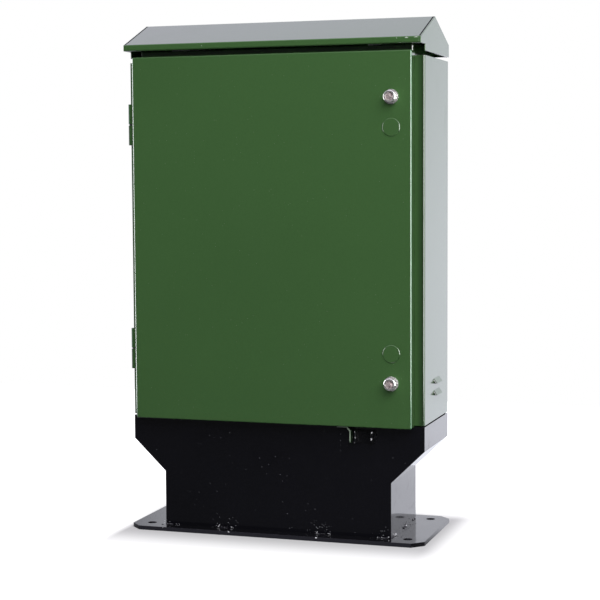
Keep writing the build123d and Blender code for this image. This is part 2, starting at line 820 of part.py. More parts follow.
with BuildPart() as lock_housings:
    for height in lock_heights.values():
        barrel_start = (lock_x, housing_front, height)
        round_bar(lock_barrel_radius, barrel_start, (0, 1, 0), lock_barrel_length)
        round_bar(lock_flange_radius, (lock_x, door_front - lock_flange_thickness, height), (0, 1, 0),
                  lock_flange_thickness)
        round_bar(lock_thread_radius, (lock_x, door_front, height), (0, 1, 0), lock_thread_length)
    rims = lock_housings.edges().filter_by(GeomType.CIRCLE).group_by(Axis.Y)[0]
    chamfer(rims, length=lock_bevel)
    for height in lock_heights.values():
        barrel_start = (lock_x, housing_front, height)
        round_bar(lock_mouth_radius, barrel_start, (0, 1, 0), lock_mouth_depth, Mode.SUBTRACT)
        round_bar(lock_spindle_radius + running_fit, barrel_start, (0, 1, 0),
                  lock_barrel_length + lock_thread_length, Mode.SUBTRACT)
write(lock_housings, "lock_housings")

with BuildPart() as lock_nuts:
    for height in lock_heights.values():
        hex_bar(lock_nut_flats, (lock_x, nut_front, height), (0, 1, 0), lock_nut_thickness)
        hidden_bore(lock_thread_radius + running_fit, (lock_x, nut_front, height), (0, 1, 0),
                    lock_nut_thickness)
write(lock_nuts, "lock_nuts")

shaft_end = cam_front + cam_thickness
for name, height in lock_heights.items():
    with BuildPart() as driver:
        round_bar(lock_mouth_radius - driver_rim_gap,
                  (lock_x, spindle_start - seat_gap - driver_face, height), (0, 1, 0), driver_face)
        bar(lambda: RegularPolygon(driver_spigot_radius, 3),
            (lock_x, spindle_start - seat_gap - lock_mouth_depth + driver_spigot_sink, height), (0, 1, 0),
            lock_mouth_depth - driver_face - driver_spigot_sink)
        round_bar(lock_spindle_radius, (lock_x, spindle_start - seat_gap, height), (0, 1, 0),
                  cam_front - spindle_start + seat_gap)
        bar(lambda: Rectangle(lock_square, lock_square), (lock_x, cam_front, height), (0, 1, 0),
            cam_thickness)
    write(driver, f"{name}_lock_driver")

    with BuildPart() as cam:
        with BuildSketch(Plane.XZ.offset(-cam_front - cam_thickness)):
            with Locations((lock_x, height - cam_reach / 2 + cam_width / 4)):
                Rectangle(cam_width, cam_reach + cam_width / 2)
            with Locations((lock_x, height)):
                Rectangle(lock_square, lock_square, mode=Mode.SUBTRACT)
        extrude(amount=cam_thickness)
        tips = cam.edges().filter_by(Axis.Y).filter_by(
            lambda edge: abs(edge.center().X - lock_x) > lock_square)
        fillet(tips, radius=cam_width / 4)
    write(cam, f"{name}_lock_cam")

    with BuildPart() as cam_screw:
        hex_bar(cam_screw_flats, (lock_x, shaft_end, height), (0, 1, 0), cam_screw_height)
    write(cam_screw, f"{name}_cam_screw")

with BuildPart() as blanking_discs:
    for height in spare_heights:
        round_bar(blank_radius, (lock_x, door_front - blank_rise, height), (0, 1, 0), blank_rise)
        bar(lambda: RegularPolygon(spare_hole_radius - hole_clearance / 2, hidden_sides, major_radius=False),
            (lock_x, door_front, height), (0, 1, 0), blank_neck)
    chamfer(blanking_discs.edges().filter_by(GeomType.CIRCLE).group_by(Axis.Y)[0], length=blank_bevel)
write(blanking_discs, "blanking_discs")

with BuildPart() as door_earth_stud:
    stud_at = (door_left + earth_stud_inset, door_inside, door_bottom + earth_stud_inset)
    hex_bar(gear_screw_flats, stud_at, (0, 1, 0), earth_nut_thickness)
    hidden_bar(earth_stud_radius, stud_at, (0, 1, 0), earth_stud_length)
write(door_earth_stud, "door_earth_stud")


# Gear plate on four hexagonal posts welded to the back, with a screw in each
posts_at = across(
    (-gear_plate_width / 2 + post_inset, gear_plate_width / 2 - post_inset),
    (gear_low + post_inset, gear_high - post_inset))

with BuildPart() as gear_plate:
    with BuildSketch(Plane.XZ.offset(-gear_back)):
        with Locations((0, body_middle_z)):
            RectangleRounded(gear_plate_width, gear_plate_height, inner_plate_corner)
    extrude(amount=gear_plate_thickness)
write(gear_plate, "gear_plate")

with BuildPart() as gear_posts:
    for x, z in posts_at:
        hex_bar(post_across_flats, (x, inner_half_depth, z), (0, -1, 0), gear_plate_standoff)
write(gear_posts, "gear_posts")

with BuildPart() as gear_screws:
    for x, z in posts_at:
        hex_bar(gear_screw_flats, (x, gear_front, z), (0, -1, 0), gear_screw_height)
write(gear_screws, "gear_screws")


# Mounting rails with a row of connection modules on each
rail_front = gear_front - rail_depth
rail_heights = [body_bottom + rise for rise in rail_rises]

with BuildPart() as mounting_rails:
    for height in rail_heights:
        with BuildSketch(Plane.YZ.offset(-rail_length / 2)):
            with BuildLine():
                Polyline(
                    (rail_front + rail_sheet, height - rail_half_height),
                    (rail_front + rail_sheet, height - rail_half_web),
                    (gear_front, height - rail_half_web), (gear_front, height + rail_half_web),
                    (rail_front + rail_sheet, height + rail_half_web),
                    (rail_front + rail_sheet, height + rail_half_height))
                offset(amount=rail_sheet, side=Side.LEFT, kind=Kind.INTERSECTION)
            make_face()
        extrude(amount=rail_length)
write(mounting_rails, "mounting_rails")

with BuildPart() as rail_screws:
    screw_reach = rail_length / 2 - rail_screw_inset
    for x, z in across((-screw_reach, screw_reach), rail_heights):
        hex_bar(head_flats, (x, gear_front - rail_sheet, z), (0, -1, 0), head_height)
write(rail_screws, "rail_screws")


def module_row(height):
    """A row of connection modules: stepped bodies with a wire slot above and below."""
    front = rail_front - module_depth
    with BuildPart() as single:
        with BuildSketch(Plane.YZ.offset(-module_width / 2)):
            Polygon(
                (rail_front, height - module_height / 2), (rail_front, height + module_height / 2),
                (front + module_step, height + module_height / 2),
                (front + module_step, height + module_height / 4), (front, height + module_height / 5),
                (front, height - module_height / 5), (front + module_step, height - module_height / 4),
                (front + module_step, height - module_height / 2), align=None)
        extrude(amount=module_width)
        for level in (-1, 1):
            with BuildSketch(Plane.XZ.offset(-(front + module_step) - module_slot_depth)):
                with Locations((0, height + level * module_height * 0.38)):
                    Rectangle(module_width - 2 * module_slot_end, module_slot_height)
            extrude(amount=module_slot_depth + cut_over, mode=Mode.SUBTRACT)
    with BuildPart() as row:
        with GridLocations(module_pitch, 1, module_count, 1):
            add(single.part)
    return row


for name, height in zip(("lower", "middle", "upper"), rail_heights):
    write(module_row(height), f"module_row_{name}")


# Cable clamp rail with saddle clamps, and the earth bar below it
clamp_z = gear_low + clamp_rail_rise
clamp_face = gear_front - clamp_rail_depth
with BuildPart() as cable_clamp_rail:
    with BuildSketch(Plane.YZ.offset(-rail_length / 2)):
        with Locations((gear_front - clamp_rail_depth / 2, clamp_z)):
            Rectangle(clamp_rail_depth, clamp_rail_height)
        with Locations((gear_front - clamp_rail_depth / 2 + sheet, clamp_z)):
            Rectangle(clamp_rail_depth, clamp_rail_height - 2 * sheet, mode=Mode.SUBTRACT)
    extrude(amount=rail_length)
write(cable_clamp_rail, "cable_clamp_rail")

clamps_at = [(index - (clamp_count - 1) / 2) * clamp_pitch for index in range(clamp_count)]
with BuildPart() as cable_clamps:
    for x in clamps_at:
        with BuildSketch(Plane.XY.offset(clamp_z - clamp_width / 2)):
            with BuildLine():
                Polyline(
                    (x - clamp_radius - clamp_ear, clamp_face), (x - clamp_radius, clamp_face),
                    (x - clamp_radius / 2, clamp_face - clamp_radius),
                    (x + clamp_radius / 2, clamp_face - clamp_radius),
                    (x + clamp_radius, clamp_face), (x + clamp_radius + clamp_ear, clamp_face))
                offset(amount=clamp_sheet, side=Side.RIGHT, kind=Kind.INTERSECTION)
            make_face()
        extrude(amount=clamp_width)
write(cable_clamps, "cable_clamps")

with BuildPart() as clamp_screws:
    for x in clamps_at:
        for side in (-1, 1):
            screw_x = x + side * (clamp_radius + clamp_ear * 0.6)
            hex_bar(head_flats, (screw_x, clamp_face - clamp_sheet, clamp_z), (0, -1, 0), head_height)
write(clamp_screws, "clamp_screws")

earth_z = gear_low + earth_bar_rise
bar_back = gear_front - earth_post_length
bar_front = bar_back - earth_bar_thickness
with BuildPart() as earth_bar_posts:
    for x in (-earth_post_x, earth_post_x):
        hex_bar(post_across_flats, (x, gear_front, earth_z), (0, -1, 0), earth_post_length)
write(earth_bar_posts, "earth_bar_posts")

earth_screws_at = [
    (index - (earth_screw_count - 1) / 2) * earth_screw_pitch for index in range(earth_screw_count)]
with BuildPart() as earth_bar:
    with BuildSketch(Plane.XZ.offset(-bar_back)):
        with Locations((0, earth_z)):
            Rectangle(earth_bar_length, earth_bar_height)
    extrude(amount=earth_bar_thickness)
    chamfer(earth_bar.edges().filter_by(Axis.Y).filter_by(GeomType.LINE), length=earth_bar_bevel)
write(earth_bar, "earth_bar")

with BuildPart() as earth_bar_screws:
    for x in earth_screws_at + [-earth_post_x, earth_post_x]:
        hex_bar(earth_screw_flats, (x, bar_front, earth_z), (0, -1, 0), earth_screw_height)
write(earth_bar_screws, "earth_bar_screws")

with BuildPart() as cabinet_earth_stud:
    stud_at = (-inner_half_width, front_face + earth_stud_inset, body_bottom + earth_stud_inset)
    hex_bar(gear_screw_flats, stud_at, (1, 0, 0), earth_nut_thickness)
    hidden_bar(earth_stud_radius, stud_at, (1, 0, 0), earth_stud_length)
write(cabinet_earth_stud, "cabinet_earth_stud")
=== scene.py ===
import math
import random

import bmesh
import bpy
from mathutils import Matrix, Vector


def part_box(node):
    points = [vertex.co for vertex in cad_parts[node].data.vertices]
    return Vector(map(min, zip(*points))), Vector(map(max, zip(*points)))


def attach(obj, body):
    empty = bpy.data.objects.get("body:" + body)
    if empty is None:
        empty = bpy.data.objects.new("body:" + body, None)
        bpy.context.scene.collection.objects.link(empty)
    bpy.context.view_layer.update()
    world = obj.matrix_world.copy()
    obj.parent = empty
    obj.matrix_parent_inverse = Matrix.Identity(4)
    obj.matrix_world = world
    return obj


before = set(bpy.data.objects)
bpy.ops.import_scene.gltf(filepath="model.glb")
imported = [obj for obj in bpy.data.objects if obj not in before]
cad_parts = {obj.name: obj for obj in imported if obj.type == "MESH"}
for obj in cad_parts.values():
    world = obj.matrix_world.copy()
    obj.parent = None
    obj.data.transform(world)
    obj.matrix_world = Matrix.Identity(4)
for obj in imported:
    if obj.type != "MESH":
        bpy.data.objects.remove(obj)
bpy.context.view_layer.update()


# Places taken from the frame, in metres: X runs to the right, the front looks along -Y, Z is up
door_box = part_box("door_pan")
root_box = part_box("root_front")
side_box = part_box("root_side_right")
plate_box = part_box("base_plate")
roof_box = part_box("roof_canopy")
wrap_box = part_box("body_wrap")
tongue_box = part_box("padlock_tongue")
bracket_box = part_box("padlock_bracket")
gable_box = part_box("gable_right")

door_right = door_box[1][0]
body_half = root_box[1][0]
wrap_right = wrap_box[1][0]
root_face = root_box[0][1]
root_sheet = root_box[1][1] - root_face
foot_half = side_box[0][0] + root_sheet
plate_right = plate_box[1][0]
plate_front = plate_box[0][1]
plate_rear = plate_box[1][1]
plate_top = plate_box[1][2]
roof_right = roof_box[1][0]
roof_hem = roof_box[0][2]
lip_front = roof_box[0][1]
tongue_front = tongue_box[0][1]
gable_right = gable_box[1][0]

# Noise lies mostly between these two values
NOISE_RANGE = (0.3, 0.7)

# The Y of a face's direction as the face comes to look forward
FRONT_FACING = (-0.80, -0.95)


# Node trees, built with short helpers
class Graph:
    """A node tree, with short ways to add nodes and join them."""

    def __init__(self, tree):
        self.tree = tree

    def add(self, kind, inputs=None, **settings):
        """A new node with its settings made and its inputs filled."""
        node = self.tree.nodes.new(kind)
        for key, value in settings.items():
            setattr(node, key, value)
        for key, value in (inputs or {}).items():
            self.put(node.inputs[key], value)
        return node

    def put(self, socket, value):
        """Links another socket to this one, or gives it a constant."""
        if isinstance(value, bpy.types.NodeSocket):
            self.tree.links.new(value, socket)
        else:
            socket.default_value = value

    def math(self, operation, first, second=0.0):
        return self.add("ShaderNodeMath", {0: first, 1: second}, operation=operation).outputs[0]

    def product(self, *factors):
        total = factors[0]
        for factor in factors[1:]:
            total = self.math("MULTIPLY", total, factor)
        return total

    def largest(self, *values):
        top = values[0]
        for value in values[1:]:
            top = self.math("MAXIMUM", top, value)
        return top

    def rest(self, value):
        """What a value leaves of 1."""
        return self.math("SUBTRACT", 1.0, value)

    def between(self, first, second, share):
        """From the first value to the second as the share goes from 0 to 1."""
        return self.math("ADD", self.product(share, second), self.product(self.rest(share), first))

    def ramp(self, value, low, high, first=0.0, last=1.0, interpolation="LINEAR"):
        """From first to last as the value goes from low to high, and level beyond."""
        inputs = {"Value": value, "From Min": low, "From Max": high, "To Min": first, "To Max": last}
        return self.add("ShaderNodeMapRange", inputs, interpolation_type=interpolation).outputs["Result"]

    def smooth(self, value, low, high, first=0.0, last=1.0):
        """A ramp with soft ends."""
        return self.ramp(value, low, high, first, last, "SMOOTHSTEP")

    def split(self, vector):
        """The three coordinates of a vector."""
        node = self.add("ShaderNodeSeparateXYZ", {0: vector})
        return [node.outputs[letter] for letter in "XYZ"]

    def mix(self, factor, first, second, blend="MIX"):
        """Two colours mixed."""
        node = self.add("ShaderNodeMix", data_type="RGBA", blend_type=blend)
        colours = [socket for socket in node.inputs if socket.type == "RGBA"]
        self.put(node.inputs["Factor"], factor)
        self.put(colours[0], first)
        self.put(colours[1], second)
        return next(socket for socket in node.outputs if socket.type == "RGBA")

    def straight_ray(self, rays):
        """1 for rays that show a surface to the camera, also through glass."""
        return self.largest(rays.outputs["Is Camera Ray"], rays.outputs["Is Transmission Ray"])


class Surface(Graph):
    """The node tree of a new material, laid out in the object's own coordinates."""

    def __init__(self, name):
        self.material = bpy.data.materials.new(name)
        self.material.use_nodes = True
        super().__init__(self.material.node_tree)
        self.shader = next(n for n in self.tree.nodes if n.type == "BSDF_PRINCIPLED")
        self.output = next(n for n in self.tree.nodes if n.type == "OUTPUT_MATERIAL")
        self.place = self.add("ShaderNodeTexCoord").outputs["Object"]

    def axis(self, letter):
        """One coordinate of the point on the surface."""
        return self.split(self.place)["XYZ".index(letter)]

    def facing(self, letter):
        """One coordinate of the surface's own direction."""
        normal = self.add("ShaderNodeNewGeometry").outputs["Normal"]
        return self.split(normal)["XYZ".index(letter)]

    def away(self, point):
        """Distance from a point."""
        node = self.add("ShaderNodeVectorMath", {0: self.place, 1: point}, operation="DISTANCE")
        return node.outputs["Value"]

    def noise(self, scale, detail, rough=0.5, stretch=None, swirl=0.0):
        """Noise, drawn out along the axes where stretch is small."""
        place = self.place
        if stretch:
            node = self.add("ShaderNodeVectorMath", {0: place, 1: stretch}, operation="MULTIPLY")
            place = node.outputs[0]
        node = self.add("ShaderNodeTexNoise", {
            "Vector": place, "Scale": scale, "Detail": detail, "Roughness": rough, "Distortion": swirl})
        return node.outputs["Fac"]

    def drift(self, scale, detail, first, last):
        """Noise that wanders between two values."""
        return self.ramp(self.noise(scale, detail), *NOISE_RANGE, first, last)

    def patches(self, scale, detail, low, high, **how):
        """Separate patches of 1 where the noise passes from low to high."""
        return self.ramp(self.noise(scale, detail, **how), low, high)

    def specks(self, scale, size, share):
        """Sparse round specks: the cells of a grain pattern, of which only a share has one."""
        cell = self.add("ShaderNodeTexVoronoi", {"Vector": self.place, "Scale": scale})
        near = self.ramp(cell.outputs["Distance"], size, size * 0.6)
        pick = self.add("ShaderNodeSeparateColor", {"Color": cell.outputs["Color"]}).outputs["Red"]
        return self.product(near, self.ramp(pick, 1.0 - share, 1.0 - share + 0.002))

    def spots(self, marks):
        """Small ragged marks at given points, each (x, y, z, radius)."""
        ragged = self.noise(900, 2)
        spots = []
        for x, y, z, radius in marks:
            reach = self.math("ADD", self.away((x, y, z)), self.product(ragged, radius * 1.1))
            spots.append(self.ramp(reach, radius * 1.3, radius * 1.1))
        return self.largest(*spots)

    def halos(self, marks):
        """Soft round zones about given points, each (x, y, z, radius)."""
        return self.largest(*[self.ramp(self.away((x, y, z)), radius, radius * 0.15)
                              for x, y, z, radius in marks])

    def rounded(self, radius):
        """The surface's direction with its edges eased."""
        return self.add("ShaderNodeBevel", {"Radius": radius}, samples=4).outputs["Normal"]

    def edges(self, radius):
        """1 along sharp or bent edges, 0 on flat faces."""
        flat = self.add("ShaderNodeNewGeometry").outputs["True Normal"]
        node = self.add("ShaderNodeVectorMath", {0: self.rounded(radius), 1: flat}, operation="DOT_PRODUCT")
        return self.ramp(node.outputs["Value"], 0.995, 0.80)

    def bump(self, height, distance, normal=None):
        inputs = {"Height": height, "Distance": distance, "Strength": 1.0}
        if normal is not None:
            inputs["Normal"] = normal
        return self.add("ShaderNodeBump", inputs).outputs["Normal"]

    def toned(self, base, tone):
        """A colour made lighter or darker by a value."""
        grey = self.add("ShaderNodeCombineColor", {"Red": tone, "Green": tone, "Blue": tone})
        return self.mix(1.0, base, grey.outputs["Color"], "MULTIPLY")

    def finish(self, **sockets):
        """Fills the shader's sockets, named with _ for each space."""
        for key, value in sockets.items():
            self.put(self.shader.inputs[key.replace("_", " ")], value)
        return self.material


def colour(rgb, level=1.0):
    """A colour as a socket takes it, at a share of its level."""
    return (*[part * level for part in rgb], 1.0)


# Colours
GREEN = (0.0420, 0.1030, 0.0310)
GREEN_DUST = (0.32, 0.36, 0.30)
GREEN_WORN = (0.22, 0.34, 0.20)
# Painted highlight on the padlock tongue's front edge
GREEN_EDGE_HIGHLIGHT = (0.20, 0.25, 0.19)
# Painted highlight on the door's upright folds
GREEN_FOLD_HIGHLIGHT = (0.12, 0.38, 0.20)
PRIMER = (0.80, 0.84, 0.78)
# Painted shade, for recesses and shaded flanks
SHADE_DARK = (0.006, 0.012, 0.006)
BLACK = (0.0030, 0.0030, 0.0046)
PLATE_BLACK = (0.0040, 0.0040, 0.0050)
# Painted reflection on the base plate's forward faces
PLATE_FRONT_SHEEN = (0.022, 0.022, 0.028)
BLACK_DUST = (0.30, 0.31, 0.34)
BLACK_WORN = (0.20, 0.20, 0.22)
FLECK = (0.55, 0.56, 0.60)
ZINC = (0.56, 0.57, 0.58)
ZINC_WARM = (ZINC[0] * 1.02, ZINC[1], ZINC[2] * 0.86)
CHROME = (0.93, 0.92, 0.89)
CHROME_DIM = (0.84, 0.83, 0.82)
DRIVER = (0.86, 0.74, 0.74)
DRIVER_DARK = (0.30, 0.24, 0.24)
BRACKET_BLACK = (0.0035, 0.0035, 0.0048)
# Bright steel of the painted glints on the padlock bracket
GLINT_STEEL = (0.70, 0.70, 0.72)
RUBBER = (0.016, 0.016, 0.017)
RUBBER_BLOOM = (0.055, 0.055, 0.056)
MODULE_GREY = (0.42, 0.43, 0.44)
COPPER = (0.78, 0.36, 0.22)
BRASS = (0.80, 0.58, 0.26)
WELD_BLACK = (0.006, 0.006, 0.008)
WELD_CREST = (0.50, 0.51, 0.54)
GRAIN = (0.82, 0.83, 0.86)
GRAIN_DARK = (0.52, 0.52, 0.55)
# Black of the root's seal, also used as a painted shadow in the gables' gaps
SEAM_BLACK = (0.004, 0.005, 0.004)
SEAM_DUST = (0.010, 0.012, 0.010)
WHITE = (1.0, 1.0, 1.0)

# Paint chips on the canopy's front lip, and near its right end a close run along the lip's top fold that is a
# painted highlight: (in from its right end, up from its hem, radius)
LIP_CHIPS_AND_GLINT = [
    (0.4307, 0.0190, 0.0008), (0.0419, 0.0218, 0.0008), (0.0357, 0.0131, 0.0011), (0.0252, 0.0221, 0.0011),
    (0.0228, 0.0223, 0.0013), (0.0207, 0.0222, 0.0009), (0.0084, 0.0226, 0.0008), (0.0067, 0.0227, 0.0009),
    (0.0047, 0.0227, 0.0010), (0.0027, 0.0228, 0.0009)]

# Zones flecked by welding, at the foot's front (along from its left end, up from the plate, radius)
# and at its right side (out from it, back from the front, radius)
FRONT_FLECKS = [(-0.002, 0.0, 0.020), (0.122, 0.0, 0.030), (0.138, 0.008, 0.020), (0.322, 0.0, 0.030),
                (0.342, 0.004, 0.016), (0.450, 0.0, 0.026)]
SIDE_FLECKS = [(0.004, 0.020, 0.030), (0.002, 0.080, 0.030)]

# The door's bend, beside which the recess starts
DOOR_BEND = 0.004

# Where the painted shade towards the body's corner sets in and where it is full, in from the body's side
CORNER_SHADE = (0.0196, 0.0041)

# Where the painted shade in the louvres' mouths sets in and where it is full, out from the body's side
LOUVRE_SHADE = (0.0004, 0.0008)

# How far the painted glints at the padlock bracket's ear edges lie behind the ears' front
EAR_EDGE = 0.0025


# Paint chips on the lip, with a painted highlight near its right end
def lip_chips_and_glint():
    return [(roof_right - inward, lip_front, roof_hem + rise, radius) for inward, rise, radius in LIP_CHIPS_AND_GLINT]


def fleck_zones():
    """Zones round the welds, each (x, y, z, radius)."""
    front = [(along - foot_half, root_face, plate_top + rise, radius) for along, rise, radius in FRONT_FLECKS]
    side = [(foot_half + out, root_face + back, plate_top, radius) for out, back, radius in SIDE_FLECKS]
    return front + side


def bracket_glints():
    """Painted glints at the ears' corners, as spots of bare steel, each (x, y, z, radius)."""
    left, front, low = bracket_box[0]
    right = bracket_box[1][0]
    high = bracket_box[1][2]
    edge = front + EAR_EDGE
    return [
        (left, edge, high - 0.0020, 0.0022),
        (left + 0.0030, front, high - 0.0125, 0.0020),
        (left, edge, low + 0.0018, 0.0024),
        (right - 0.0015, edge, high - 0.0015, 0.0030),
        (right - 0.0020, front, low + 0.0100, 0.0032)]


# Masks of painted shade and painted highlight at places of one part
def wrap_painted_shade(g):
    """Painted shade in the louvres' mouths, in the recess beside the door and towards the body's corner."""
    across = g.axis("X")
    ahead = g.facing("Y")
    fold = door_right - DOOR_BEND
    mouth = g.product(
        g.ramp(ahead, -0.15, -0.30),
        g.ramp(across, body_half + LOUVRE_SHADE[0], body_half + LOUVRE_SHADE[1]),
        0.95)
    recess = g.product(
        g.ramp(across, fold, wrap_right, 0.10, 0.42),
        g.ramp(across, fold, fold + 0.001),
        g.ramp(ahead, *FRONT_FACING))
    corner = g.product(
        g.ramp(across, body_half - CORNER_SHADE[0], body_half - CORNER_SHADE[1], 0.0, 0.70),
        g.ramp(ahead, -0.60, -0.90))
    return g.largest(mouth, recess, corner)


def tongue_flank_shade(g):
    """Painted shade on the tongue's flanks, behind its front edge."""
    return g.ramp(g.axis("Y"), tongue_front + 0.0012, tongue_front + 0.0030, 0.0, 0.80)


def tongue_edge_highlight(g):
    """A painted highlight along the tongue's front edge."""
    return g.ramp(g.axis("Y"), tongue_front + 0.0014, tongue_front + 0.0006)


def door_fold_highlight(g):
    """A painted highlight on the door's two upright folds."""
    return g.product(g.ramp(g.math("ABSOLUTE", g.facing("X")), 0.20, 0.45, 0.0, 0.35),
                     g.ramp(g.facing("Y"), -0.15, -0.40))


# Materials
def gloss_paint(name, dust=0.5, streaks=0.0, chips_and_glint=None, painted_shade=None, pale=None, pale_tone=GREEN_EDGE_HIGHLIGHT):
    """Green gloss powder coat: a fine orange peel, faint drifts of tone, handling smudges, dust and
    worn edges. Painted shade darkens it by its mask; pale turns it to the pale tone, a painted highlight."""
    g = Surface(name)
    paint = g.toned(colour(GREEN), g.product(g.drift(2.6, 3, 0.965, 1.035), g.drift(420, 2, 0.955, 1.045)))
    paint = g.mix(g.product(g.specks(260, 0.16, 0.035), dust), paint, colour(GREEN_DUST))
    worn = g.product(g.edges(0.0009), g.patches(130, 3, 0.50, 0.62), 0.30)
    paint = g.mix(worn, paint, colour(GREEN_WORN))
    # Primer at the paint chips, and a painted highlight at the lip's right end
    if chips_and_glint:
        paint = g.mix(g.spots(chips_and_glint), paint, colour(PRIMER))
    # Painted shade: darkening where shade falls
    if painted_shade:
        paint = g.mix(painted_shade(g), paint, colour(SHADE_DARK))
    # Painted highlight: a paler tone where light catches folds and edges
    if pale:
        paint = g.mix(pale(g), paint, colour(pale_tone))
    smudge = g.patches(9, 5, 0.56, 0.72, rough=0.6, stretch=(1.0, 1.0, 0.35), swirl=0.6)
    dullness = g.math("ADD", g.drift(60, 3, 0.15, 0.19), g.product(smudge, 0.08))
    cover = 1.0
    if streaks:
        run = g.patches(34, 4, 0.60, 0.70, rough=0.65, stretch=(0.4, 1.0, 0.16), swirl=0.5)
        cover = g.rest(g.product(run, g.patches(6.5, 2, 0.50, 0.62), streaks))
    peel = g.bump(g.noise(330, 2), 0.00005, g.rounded(0.0005))
    fine = g.bump(g.noise(1500, 1), 0.000008, peel)
    return g.finish(Base_Color=paint, Roughness=dullness, Normal=fine, IOR=1.5, Coat_Weight=cover,
                    Coat_Roughness=0.06, Coat_IOR=1.5, Coat_Normal=peel)


def black_paint(name, base, dust=1.0, haze=0.03, streaks=0.25, gloss=1.0, front=0.0):
    """Gloss black coat: a slightly coarse skin, pale dust, flecks round the welds, scuffs and runs.
    Front is how far the faces that look forward are made lighter, a painted reflection."""
    g = Surface(name)
    paint = g.toned(colour(base), g.drift(4, 3, 0.8, 1.2))
    motes = g.product(g.specks(210, 0.20, 0.06), g.patches(14, 4, 0.42, 0.62), 0.5 * dust)
    paint = g.mix(motes, paint, colour(BLACK_DUST))
    flecks = g.product(g.specks(430, 0.34, 0.10), g.ramp(g.halos(fleck_zones()), 0.05, 0.9))
    paint = g.mix(flecks, paint, colour(FLECK))
    # Painted reflection: the faces that look forward are turned lighter
    if front:
        paint = g.mix(g.ramp(g.facing("Y"), *FRONT_FACING, 0.0, front), paint, colour(PLATE_FRONT_SHEEN))
    worn = g.product(g.edges(0.0009), g.patches(160, 3, 0.52, 0.64), 0.25)
    paint = g.mix(worn, paint, colour(BLACK_WORN))
    scuff = g.patches(22, 6, 0.60, 0.70, rough=0.7, stretch=(1.0, 1.0, 0.5), swirl=0.5)
    dullness = g.math("ADD", g.drift(45, 3, 0.14, 0.20), g.product(scuff, 0.10))
    run = g.patches(26, 5, 0.56, 0.68, rough=0.65, swirl=0.8)
    cover = g.math("SUBTRACT", gloss, g.product(run, streaks * gloss))
    skin = g.bump(g.noise(300, 3), 0.00004, g.rounded(0.0005))
    return g.finish(Base_Color=paint, Roughness=dullness, Normal=skin, IOR=1.45, Coat_Weight=cover,
                    Coat_Roughness=haze, Coat_IOR=1.5, Coat_Normal=skin)


def bracket_paint():
    """Black paint with spots of bright steel at the ears' corners, which are painted glints."""
    g = Surface("black_bracket")
    glints = g.spots(bracket_glints())
    return g.finish(
        Base_Color=g.mix(glints, colour(BRACKET_BLACK), colour(GLINT_STEEL)),
        Metallic=g.product(glints, 0.3),
        Roughness=g.drift(200, 3, 0.24, 0.36),
        Normal=g.bump(g.noise(600, 3), 0.00005, g.rounded(0.0005)))


def zinc():
    """Zinc plating: cloudy patches and faint rolling lines."""
    g = Surface("zinc_plate")
    tint = g.mix(g.patches(9, 3, 0.4, 0.65), colour(ZINC), colour(ZINC_WARM))
    lines = g.noise(220, 3, 0.6, (1.0, 1.0, 0.04))
    return g.finish(
        Base_Color=g.toned(tint, g.drift(28, 4, 0.86, 1.10)),
        Metallic=1.0,
        Roughness=g.ramp(lines, *NOISE_RANGE, 0.28, 0.42),
        Normal=g.bump(lines, 0.00003, g.rounded(0.0006)))


def bright_chrome():
    """Polished chrome with hair scratches and a little haze."""
    g = Surface("chrome_lock")
    hair = g.noise(900, 2, 0.6, (1.0, 1.0, 0.08))
    return g.finish(
        Base_Color=g.mix(g.patches(240, 2, 0.4, 0.7), colour(CHROME), colour(CHROME_DIM)),
        Metallic=0.80,
        IOR=1.8,
        Roughness=g.ramp(g.noise(160, 3), 0.45, 0.7, 0.04, 0.16),
        Normal=g.bump(hair, 0.000006, g.rounded(0.0004)))


def driver_metal():
    """Die-cast driver, greyer and softer than the chrome round it."""
    g = Surface("driver_cast")
    return g.finish(
        Base_Color=g.mix(g.patches(500, 3, 0.4, 0.65), colour(DRIVER), colour(DRIVER_DARK)),
        Metallic=0.6,
        Roughness=g.drift(300, 2, 0.22, 0.36),
        Normal=g.bump(g.noise(800, 2), 0.00002, g.rounded(0.0004)))


def warm_metal(name, base):
    """Copper or brass with a light tarnish."""
    g = Surface(name)
    return g.finish(
        Base_Color=g.mix(g.patches(55, 5, 0.48, 0.68, rough=0.6), colour(base), colour(base, 0.55)),
        Metallic=1.0,
        Roughness=g.drift(180, 3, 0.28, 0.44),
        Normal=g.bump(g.noise(400, 3), 0.00003, g.rounded(0.0004)))


def rubber():
    """Soft black rubber with a dusty bloom."""
    g = Surface("black_rubber")
    bloom = g.patches(35, 4, 0.45, 0.7)
    return g.finish(
        Base_Color=g.mix(g.product(bloom, 0.4), colour(RUBBER), colour(RUBBER_BLOOM)),
        Roughness=g.ramp(bloom, 0.0, 1.0, 0.55, 0.78),
        Normal=g.bump(g.noise(900, 2), 0.00005))


def seam_and_gap_shadow():
    """Dull black with a dusty skin: the root's seal, and the fill of the gaps at the gables, which is a
    painted shadow.
    """
    g = Surface("seam_black_and_shadow")
    skin = g.patches(60, 4, 0.45, 0.7)
    return g.finish(
        Base_Color=g.mix(skin, colour(SEAM_BLACK), colour(SEAM_DUST)),
        Roughness=g.ramp(skin, 0.0, 1.0, 0.75, 0.92),
        Specular_IOR_Level=0.1,
        Normal=g.bump(g.noise(600, 2), 0.00005))


def module_plastic():
    """Moulded grey plastic with a spark-eroded texture."""
    g = Surface("grey_modules")
    return g.finish(
        Base_Color=g.mix(g.patches(12, 3, 0.35, 0.65), colour(MODULE_GREY), colour(MODULE_GREY, 0.92)),
        Roughness=g.drift(900, 2, 0.42, 0.55),
        Normal=g.bump(g.noise(1400, 2), 0.00004, g.rounded(0.0006)))


